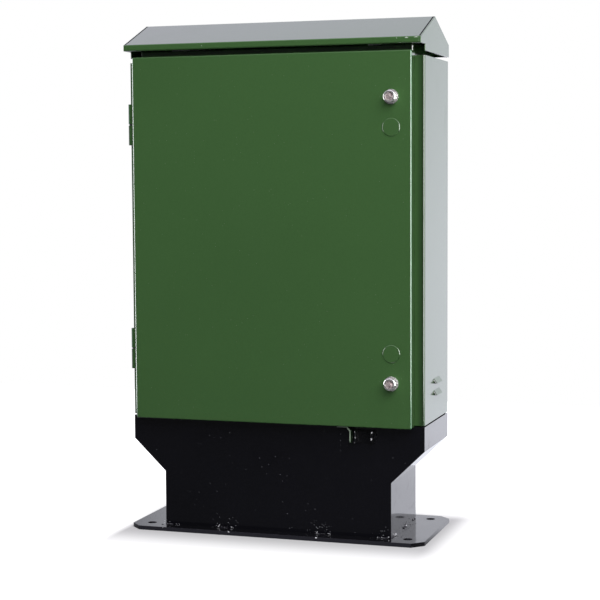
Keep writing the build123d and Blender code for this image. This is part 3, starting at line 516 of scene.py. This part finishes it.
def weld_metal():
    """Painted-over weld: black with raw bright crests."""
    g = Surface("weld")
    crest = g.patches(700, 3, 0.60, 0.68)
    return g.finish(
        Base_Color=g.mix(crest, colour(WELD_BLACK), colour(WELD_CREST)),
        Metallic=g.product(crest, 0.6),
        Roughness=g.drift(700, 2, 0.22, 0.5),
        Normal=g.bump(g.noise(900, 3), 0.0002))


def bare_metal():
    """Bright grains of weld spatter that took no paint."""
    g = Surface("bare_spatter")
    return g.finish(
        Base_Color=g.mix(g.patches(900, 2, 0.4, 0.7), colour(GRAIN), colour(GRAIN_DARK)),
        Metallic=0.25,
        Roughness=g.drift(500, 2, 0.25, 0.45),
        Normal=g.bump(g.noise(1200, 2), 0.0001))


# Every node of the part gets a finish
paint_green = gloss_paint("green_gloss", streaks=0.35)
seam_black_and_shadow = seam_and_gap_shadow()
finishes = {
    paint_green: [
        "body_top", "body_floor", "neck_collar", "body_hinge_leaves", "gable_left", "gable_right"],
    # The wrap carries painted shade beside the door, towards its corner and in the louvres
    gloss_paint("green_gloss_wrap", streaks=0.35, painted_shade=wrap_painted_shade): ["body_wrap"],
    # The door has a painted highlight on its folds
    gloss_paint("green_gloss_door", pale=door_fold_highlight, pale_tone=GREEN_FOLD_HIGHLIGHT): ["door_pan", "door_hinge_leaves"],
    # The tongue has painted shade on its flanks and a painted highlight on its front edge
    gloss_paint("green_gloss_tongue", painted_shade=tongue_flank_shade, pale=tongue_edge_highlight): ["padlock_tongue"],
    gloss_paint("green_gloss_roof", dust=0.3, chips_and_glint=lip_chips_and_glint()): ["roof_canopy"],
    gloss_paint("green_gloss_inside", dust=0.2): ["door_stiffener"],
    gloss_paint("green_cover", dust=0.2): ["blanking_discs"],
    black_paint("black_semi_gloss", BLACK): [
        "root_front", "root_rear", "root_side_left", "root_side_right", "root_frame"],
    black_paint("black_plate", PLATE_BLACK, dust=0.6, haze=0.05, streaks=0.3, gloss=0.55, front=0.8): [
        "base_plate"],
    bracket_paint(): ["padlock_bracket"],
    zinc(): [
        "gland_plate", "gland_plate_screws", "roof_brackets", "roof_screws", "gear_plate", "gear_posts",
        "gear_screws", "mounting_rails", "rail_screws", "cable_clamp_rail", "cable_clamps", "clamp_screws",
        "earth_bar_posts", "hinge_washers", "hinge_pins", "root_bolts", "root_nuts", "lock_nuts",
        "upper_lock_cam", "lower_lock_cam", "upper_cam_screw", "lower_cam_screw"],
    bright_chrome(): ["lock_housings"],
    driver_metal(): ["upper_lock_driver", "lower_lock_driver"],
    warm_metal("copper", COPPER): ["earth_bar"],
    warm_metal("brass", BRASS): ["earth_bar_screws", "cabinet_earth_stud", "door_earth_stud"],
    rubber(): ["cable_grommets", "door_gasket"],
    seam_black_and_shadow: ["root_seal"],
    module_plastic(): ["module_row_lower", "module_row_middle", "module_row_upper"],
}
dressed = set()
for material, names in finishes.items():
    for name in names:
        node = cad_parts[name]
        node.data.materials.clear()
        node.data.materials.append(material)
        dressed.add(name)
undressed = sorted(set(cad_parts) - dressed)
if undressed:
    raise RuntimeError("no finish for " + ", ".join(undressed))


def new_object(name, mesh, material, smooth=False):
    """An object in the scene from mesh code."""
    data = bpy.data.meshes.new(name)
    mesh.to_mesh(data)
    mesh.free()
    for face in data.polygons:
        face.use_smooth = smooth
    data.materials.append(material)
    thing = bpy.data.objects.new(name, data)
    bpy.context.scene.collection.objects.link(thing)
    return thing


def piece(name, mesh, material, body, smooth=False):
    """A new object of the part, riding on a body."""
    thing = new_object(name, mesh, material, smooth)
    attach(thing, body)


# Stitch welds along the foot of the root, with their spatter. Places along the front are taken from
# the foot's left end, and places at the sides from the root's front face
FRONT_WELDS = [(0.0, 0.0160), (0.1120, 0.1340), (0.3130, 0.3360), (0.4400, 0.4630)]
SIDE_WELDS = [(0.001, 0.034), (0.094, 0.120), (0.170, 0.194)]
FORWARD = Vector((0, -1, 0))
UPWARD = Vector((0, 0, 1))
RIGHTWARD = Vector((1, 0, 0))

# A bead's size and step, the shares of its size that are even, rippled and ragged, and its ends
BEAD_SIZE = 0.0020
BEAD_STEP = 0.0011
BEAD_POINTS = 7
BEAD_EVEN = 0.72
BEAD_RIPPLE = 0.28
BEAD_RAGGED = 0.10
BEAD_BULGE = 0.18
RIPPLE_TURN = 1.15
END_SHARE = 0.25
END_RISE = 8

# Fine spatter: how many grains, how large, how far they land from the foot's corner and how lumpy
GRAINS_AT_WELD = 11
GRAINS_AT_SIDE = 22
FRONT_SIZES = (0.0004, 0.0010)
SIDE_SIZES = (0.0004, 0.0009)
WELD_SCATTER = 0.013
SIDE_SCATTER = (0.005, 0.150)
WALL_START = 0.002
WALL_SCATTER = 0.006
PLATE_START = 0.004
GRAIN_REST = 0.0002
LUMPS = (0.75, 1.2)


def bead(mesh, start, end, out, rng):
    """A rippled fillet bead from start to end, in the corner between the plate and a wall."""
    start = Vector(start)
    end = Vector(end)
    run = end - start
    steps = max(6, int(run.length / BEAD_STEP))
    rings = []
    for i in range(steps + 1):
        t = i / steps
        ripple = BEAD_RIPPLE * abs(math.sin(i * RIPPLE_TURN))
        swell = BEAD_SIZE * (BEAD_EVEN + ripple + rng.uniform(-BEAD_RAGGED, BEAD_RAGGED))
        taper = min(1.0, END_RISE * t + END_SHARE, END_RISE * (1 - t) + END_SHARE)
        ring = []
        for k in range(BEAD_POINTS):
            a = k / (BEAD_POINTS - 1) * math.pi / 2
            bulge = 1.0 + BEAD_BULGE * math.sin(2 * a)
            offset = (out * math.cos(a) + UPWARD * math.sin(a)) * swell * taper * bulge
            ring.append(mesh.verts.new(start + run * t + offset))
        rings.append(ring)
    for a, b in zip(rings, rings[1:]):
        for k in range(BEAD_POINTS - 1):
            mesh.faces.new((a[k], a[k + 1], b[k + 1], b[k]))
    for ring, inward in ((rings[0], start), (rings[-1], end)):
        corner = mesh.verts.new(inward)
        for k in range(BEAD_POINTS - 1):
            mesh.faces.new((corner, ring[k + 1], ring[k]))


def grain(mesh, centre, radius, rng):
    """A lumpy grain of spatter."""
    ball = bmesh.ops.create_icosphere(mesh, subdivisions=1, radius=radius)
    for v in ball["verts"]:
        v.co *= rng.uniform(*LUMPS)
        v.co += Vector(centre)


def landing(rng, wall_share, reach):
    """Where a grain lands, on the wall or on the plate: (out from the wall, up from the plate)."""
    if rng.random() < wall_share:
        return GRAIN_REST, abs(rng.gauss(0, WALL_SCATTER)) + WALL_START
    return PLATE_START + abs(rng.gauss(0, reach)), GRAIN_REST


def root_welds(rng):
    """The beads on all four sides of the foot, and fine spatter at the front and the right."""
    mesh = bmesh.new()
    for start, end in FRONT_WELDS:
        x0 = start - foot_half
        x1 = end - foot_half
        bead(mesh, (x0, root_face, plate_top), (x1, root_face, plate_top), FORWARD, rng)
        bead(mesh, (x0, -root_face, plate_top), (x1, -root_face, plate_top), -FORWARD, rng)
    for start, end in SIDE_WELDS:
        y0 = root_face + start
        y1 = root_face + end
        bead(mesh, (foot_half, y0, plate_top), (foot_half, y1, plate_top), RIGHTWARD, rng)
        bead(mesh, (-foot_half, y0, plate_top), (-foot_half, y1, plate_top), -RIGHTWARD, rng)
    for start, end in FRONT_WELDS:
        for _ in range(GRAINS_AT_WELD):
            x = (start + end) / 2 - foot_half + rng.gauss(0, WELD_SCATTER)
            size = rng.uniform(*FRONT_SIZES)
            out, rise = landing(rng, wall_share=0.6, reach=0.005)
            grain(mesh, (x, root_face - out, plate_top + rise), size, rng)
    for _ in range(GRAINS_AT_SIDE):
        y = root_face + rng.uniform(*SIDE_SCATTER)
        size = rng.uniform(*SIDE_SIZES)
        out, rise = landing(rng, wall_share=0.4, reach=0.008)
        grain(mesh, (foot_half + out, y, plate_top + rise), size, rng)
    return mesh


# Bright grains that show one by one, placed as the welds are: on the root's front (along, up, radius),
# on the plate's front edge (along, radius) and beside the root's right side (back, up, radius)
FRONT_GRAINS = [
    (0.1125, 0.0018, 0.0012), (0.1137, 0.0030, 0.0009), (0.1150, 0.0044, 0.0010), (0.1158, 0.0058, 0.0008),
    (0.1411, 0.0022, 0.0013), (0.1440, 0.0010, 0.0008), (0.0220, 0.0012, 0.0006), (0.0255, 0.0010, 0.0005),
    (0.0290, 0.0009, 0.0005), (-0.0026, 0.0030, 0.0007), (-0.0026, 0.0060, 0.0006),
    (0.3177, 0.0012, 0.0013), (0.3187, 0.0030, 0.0010), (0.3190, 0.0046, 0.0008), (0.3414, 0.0024, 0.0009),
    (0.3434, 0.0016, 0.0009), (0.3455, 0.0008, 0.0008), (0.4415, 0.0012, 0.0011), (0.4499, 0.0014, 0.0012),
    (0.4634, 0.0030, 0.0013)]
EDGE_GRAINS = [(0.1445, 0.0014), (0.1460, 0.0010), (0.3249, 0.0015), (0.3265, 0.0010), (0.0053, 0.0007)]
EDGE_GRAIN_DROP = 0.0012
SIDE_GRAINS = [
    (0.0240, 0.0016, 0.0018), (0.0300, 0.0020, 0.0022), (0.0350, 0.0012, 0.0014), (0.1132, 0.0014, 0.0018),
    (0.1170, 0.0020, 0.0013), (0.1753, 0.0020, 0.0008), (0.1922, 0.0020, 0.0009)]


def bright_spatter(rng):
    mesh = bmesh.new()
    for along, rise, radius in FRONT_GRAINS:
        grain(mesh, (along - foot_half, root_face - radius * 0.5, plate_top + rise), radius, rng)
    for along, radius in EDGE_GRAINS:
        grain(mesh, (along - foot_half, plate_front, plate_top - EDGE_GRAIN_DROP), radius, rng)
    for back, rise, radius in SIDE_GRAINS:
        grain(mesh, (foot_half + radius * 0.6, root_face + back, plate_top + rise), radius, rng)
    return mesh


rng = random.Random(7)
piece("root_foot_welds", root_welds(rng), weld_metal(), "cabinet", smooth=True)
piece("root_spatter", bright_spatter(rng), bare_metal(), "cabinet", smooth=True)


# Joints between the canopy's ends and the gables: under the slopes a dull black fill, a painted shadow for
# the shaded gap, and paint-filled at the lip.
# Faces of the canopy's end less than the lip's depth behind its front belong to the lip
GABLE_SHEET = 0.002
LIP_DEPTH = 0.0030
SAME_PLANE = 1e-5


def gable_joint(side, at_lip):
    """The canopy's cut edge carried across the gap to one gable, at the lip or at the slopes."""
    end_x = roof_right * side
    across = (gable_right - GABLE_SHEET - roof_right) * side
    mesh = bmesh.new()
    mesh.from_mesh(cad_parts["roof_canopy"].data)
    others = []
    for face in mesh.faces:
        middle = face.calc_center_median()
        off_end = abs(middle.x - end_x) > SAME_PLANE
        if off_end or (middle.y < lip_front + LIP_DEPTH) != at_lip:
            others.append(face)
    bmesh.ops.delete(mesh, geom=others, context="FACES")
    grown = bmesh.ops.extrude_face_region(mesh, geom=mesh.faces[:])
    moved = [item for item in grown["geom"] if isinstance(item, bmesh.types.BMVert)]
    bmesh.ops.translate(mesh, verts=moved, vec=(across, 0, 0))
    bmesh.ops.recalc_face_normals(mesh, faces=mesh.faces[:])
    return mesh


for label, side in (("left", -1), ("right", 1)):
    # Under the slopes the black fill is a painted shadow for the shaded gap
    piece("gable_gap_shadow_" + label, gable_joint(side, False), seam_black_and_shadow, "cabinet")
    piece("lip_joint_" + label, gable_joint(side, True), paint_green, "cabinet")


# Floor: white to the camera, with a soft shade round the base plate, which is narrower where its
# stretch is larger
FLOOR_HALF = 1.8
FLOOR_DROP = 0.0002
FLOOR_GREY = 0.30
SHADE_REACH = 0.045
SHADE_DEEP = 0.25
SHADE_EDGE = 0.70
SHADE_LIFT = 0.6
LEFT_STRETCH = 2.4
RIGHT_STRETCH = 1.0
FRONT_STRETCH = 0.36
REAR_STRETCH = 0.8
STRETCH_TURN = (-0.05, 0.05)

# In reflections the floor is dark in front of the cabinet, pale behind it and paler still far behind
MIRROR_TINT = (0.945, 0.960, 1.050)
MIRROR_DARK = 0.05
MIRROR_PALE = 0.84
MIRROR_TURN = (-0.13, 0.06)
MIRROR_RISE = 0.25
MIRROR_FAR = (0.4, 1.2)


def past_plate(g, along, half, low_stretch, high_stretch):
    """How far a point lies outside the plate along one axis, stretched on the low and high side."""
    away = g.math("SUBTRACT", g.math("ABSOLUTE", along), half)
    return g.product(g.largest(away, 0.0), g.ramp(along, *STRETCH_TURN, low_stretch, high_stretch))


def floor_shade(g, x, y):
    """The floor's own light towards the camera: weak near the plate, full farther out."""
    past_x = past_plate(g, x, plate_right, LEFT_STRETCH, RIGHT_STRETCH)
    past_y = past_plate(g, y, plate_rear, FRONT_STRETCH, REAR_STRETCH)
    spread = g.math("SQRT", g.math("ADD", g.product(past_x, past_x), g.product(past_y, past_y)))
    near = g.smooth(spread, 0.0, SHADE_REACH, SHADE_DEEP, SHADE_EDGE)
    far = g.ramp(spread, SHADE_REACH * 0.8, SHADE_REACH * 2.2, 0.0, SHADE_LIFT)
    return g.math("ADD", near, far)


def floor_material():
    g = Surface("floor_white")
    grey = g.mix(g.drift(3, 2, 0.0, 1.0), colour(WHITE, FLOOR_GREY), colour(WHITE, FLOOR_GREY * 1.04))
    g.finish(Base_Color=grey, Roughness=0.9, IOR=1.0)
    rays = g.add("ShaderNodeLightPath")
    x, y, _ = g.split(g.place)
    strength = g.product(g.straight_ray(rays), floor_shade(g, x, y))
    glow = g.add("ShaderNodeEmission", {"Color": colour(WHITE), "Strength": strength})
    seen = g.add("ShaderNodeAddShader", {0: g.shader.outputs[0], 1: glow.outputs[0]})
    behind = g.ramp(y, *MIRROR_TURN, MIRROR_DARK, MIRROR_PALE)
    mirrored = g.math("ADD", behind, g.ramp(y, *MIRROR_FAR, 0.0, MIRROR_RISE))
    mirror_glow = g.add("ShaderNodeEmission", {"Color": colour(MIRROR_TINT), "Strength": mirrored})
    choose = g.add("ShaderNodeMixShader", {
        0: rays.outputs["Is Glossy Ray"], 1: seen.outputs[0], 2: mirror_glow.outputs[0]})
    g.put(g.output.inputs["Surface"], choose.outputs[0])
    return g.material


floor_mesh = bmesh.new()
floor_mesh.faces.new([floor_mesh.verts.new((x * FLOOR_HALF, y * FLOOR_HALF, -FLOOR_DROP))
                      for x, y in ((-1, -1), (1, -1), (1, 1), (-1, 1))])
floor = new_object("floor", floor_mesh, floor_material())


# World: white to the camera. In reflections and as light it is a room with a bright ceiling, a pale
# back and a dark side behind the camera. Pairs say where along X, Y or Z of a direction a change goes
FRONT_DARK = 0.045
FRONT_TO_BACK = (-0.55, 0.12)
BACK_LOW = 1.05
BACK_DROP = 0.19
BACK_FALL = (-0.07, 0.13)
HIGH_DROP = 0.05
HIGH_FALL = (0.10, 0.62)
CEILING = 1.0
CEILING_EDGE = (0.72, 0.92)
LEFT_BACK_DROP = 0.85
LEFT_BACK_X = (-0.34, -0.44)
LEFT_BACK_Y = (0.25, 0.50)
LEFT_BACK_Z = (0.40, 0.20)
DIFFUSE_DROP = 0.30
ROOM_TINT = (0.945, 0.960, 1.045)
ROOM_TINT_HIGH = (0.978, 0.888, 1.118)
TINT_TURN = (0.30, 0.50)


def room_strength(g, x, y, z, rays):
    """How bright the room is in a direction."""
    low_back = g.math("SUBTRACT", BACK_LOW, g.smooth(z, *BACK_FALL, 0.0, BACK_DROP))
    back = g.math("SUBTRACT", low_back, g.smooth(z, *HIGH_FALL, 0.0, HIGH_DROP))
    sides = g.between(FRONT_DARK, back, g.smooth(y, *FRONT_TO_BACK))
    room = g.between(sides, CEILING, g.smooth(z, *CEILING_EDGE))
    soft = g.product(room, g.rest(g.product(rays.outputs["Is Diffuse Ray"], DIFFUSE_DROP)))
    left_back = g.product(
        g.smooth(x, *LEFT_BACK_X, 0.0, LEFT_BACK_DROP), g.smooth(y, *LEFT_BACK_Y), g.smooth(z, *LEFT_BACK_Z))
    return g.product(soft, g.rest(left_back))


def studio():
    world = bpy.data.worlds.new("studio")
    world.use_nodes = True
    world.node_tree.nodes.clear()
    g = Graph(world.node_tree)
    rays = g.add("ShaderNodeLightPath")
    x, y, z = g.split(g.add("ShaderNodeTexCoord").outputs["Generated"])
    tint = g.mix(g.smooth(z, *TINT_TURN), colour(ROOM_TINT), colour(ROOM_TINT_HIGH))
    room = g.add("ShaderNodeBackground", {"Color": tint, "Strength": room_strength(g, x, y, z, rays)})
    plain = g.add("ShaderNodeBackground", {"Color": colour(WHITE), "Strength": 1.0})
    choose = g.add("ShaderNodeMixShader", {0: g.straight_ray(rays), 1: room.outputs[0], 2: plain.outputs[0]})
    g.add("ShaderNodeOutputWorld", {"Surface": choose.outputs[0]})
    return world


bpy.context.scene.world = studio()


# Lamps: a high soft key at the right front, a faint fill, and cards that only show as reflections
AIM_HEIGHT = 0.55
CARD_HEIGHT = 0.75
ROOT_NODES = ["base_plate", "root_front", "root_rear", "root_side_left", "root_side_right", "root_seal"]
LOCK_NODES = ["lock_housings", "upper_lock_driver", "lower_lock_driver", "blanking_discs"]


def lamp(name, place, aim_height, width, tall, power, glossy=True, diffuse=True):
    """A soft area lamp turned to a height on the cabinet's middle line."""
    data = bpy.data.lights.new(name, "AREA")
    data.shape = "RECTANGLE"
    data.size = width
    data.size_y = tall
    data.energy = power
    thing = bpy.data.objects.new(name, data)
    bpy.context.scene.collection.objects.link(thing)
    thing.location = place
    thing.rotation_euler = (Vector((0, 0, aim_height)) - Vector(place)).to_track_quat("-Z", "Y").to_euler()
    thing.visible_glossy = glossy
    thing.visible_diffuse = diffuse
    return thing


def card(name, azimuth, distance, width, tall, radiance, seen_in, height=CARD_HEIGHT, aim_height=CARD_HEIGHT):
    """A card that shows in the given nodes alone. Its azimuth is in degrees from -Y towards +X."""
    angle = math.radians(azimuth)
    place = (distance * math.sin(angle), -distance * math.cos(angle), height)
    thing = lamp(name, place, aim_height, width, tall, radiance * math.pi * width * tall, diffuse=False)
    lit = bpy.data.collections.new(name + "_nodes")
    for node_name in seen_in:
        lit.objects.link(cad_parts[node_name])
    thing.light_linking.receiver_collection = lit


lamp("key", (1.9, -2.3, 2.9), aim_height=AIM_HEIGHT, width=3.8, tall=3.0, power=196, glossy=False)
lamp("fill", (-0.4, -3.8, 2.6), aim_height=0.5, width=2.0, tall=1.4, power=30, glossy=False)
off_wrap = [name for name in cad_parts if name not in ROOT_NODES + ["body_wrap"]]
card("right_card", 58, 2.6, width=2.1, tall=2.6, radiance=9.5, seen_in=off_wrap)
card("right_card_dim", 58, 2.6, width=2.1, tall=2.6, radiance=7.2, seen_in=["body_wrap"])
card("left_card", -95, 2.6, width=3.4, tall=2.4, radiance=4.8, seen_in=["door_pan"] + LOCK_NODES)
card("upper_right_card", 60, 2.2, width=1.2, tall=0.8, radiance=3.0, seen_in=["door_pan"] + LOCK_NODES,
     height=2.4, aim_height=AIM_HEIGHT)


# Camera, solved from the straight edges of the photograph: angles in degrees, place in metres and
# focal length in pixels of a frame 600 pixels wide
YAW = 17.93
PITCH = 4.53
ROLL = -0.31
CAMERA_PLACE = (1.00907, -3.05710, 0.71209)
FOCAL_PIXELS = 1608.6
FRAME_PIXELS = 600
SENSOR = 36.0


def photo_camera():
    yaw, pitch, roll = map(math.radians, (YAW, PITCH, ROLL))
    ahead = Vector((-math.sin(yaw) * math.cos(pitch), math.cos(yaw) * math.cos(pitch), -math.sin(pitch)))
    level = Vector((math.cos(yaw), math.sin(yaw), 0.0))
    above = level.cross(ahead)
    across = math.cos(roll) * level + math.sin(roll) * above
    upright = -math.sin(roll) * level + math.cos(roll) * above
    view = bpy.data.cameras.new("view")
    view.sensor_width = SENSOR
    view.sensor_fit = "HORIZONTAL"
    view.lens = FOCAL_PIXELS / FRAME_PIXELS * SENSOR
    view.clip_start = 0.05
    view.clip_end = 50
    camera = bpy.data.objects.new("view", view)
    bpy.context.scene.collection.objects.link(camera)
    turn = Matrix((across, upright, -ahead)).transposed().to_4x4()
    camera.matrix_world = Matrix.Translation(CAMERA_PLACE) @ turn
    return camera


bpy.context.scene.camera = photo_camera()
bpy.context.scene.view_settings.view_transform = "Standard"
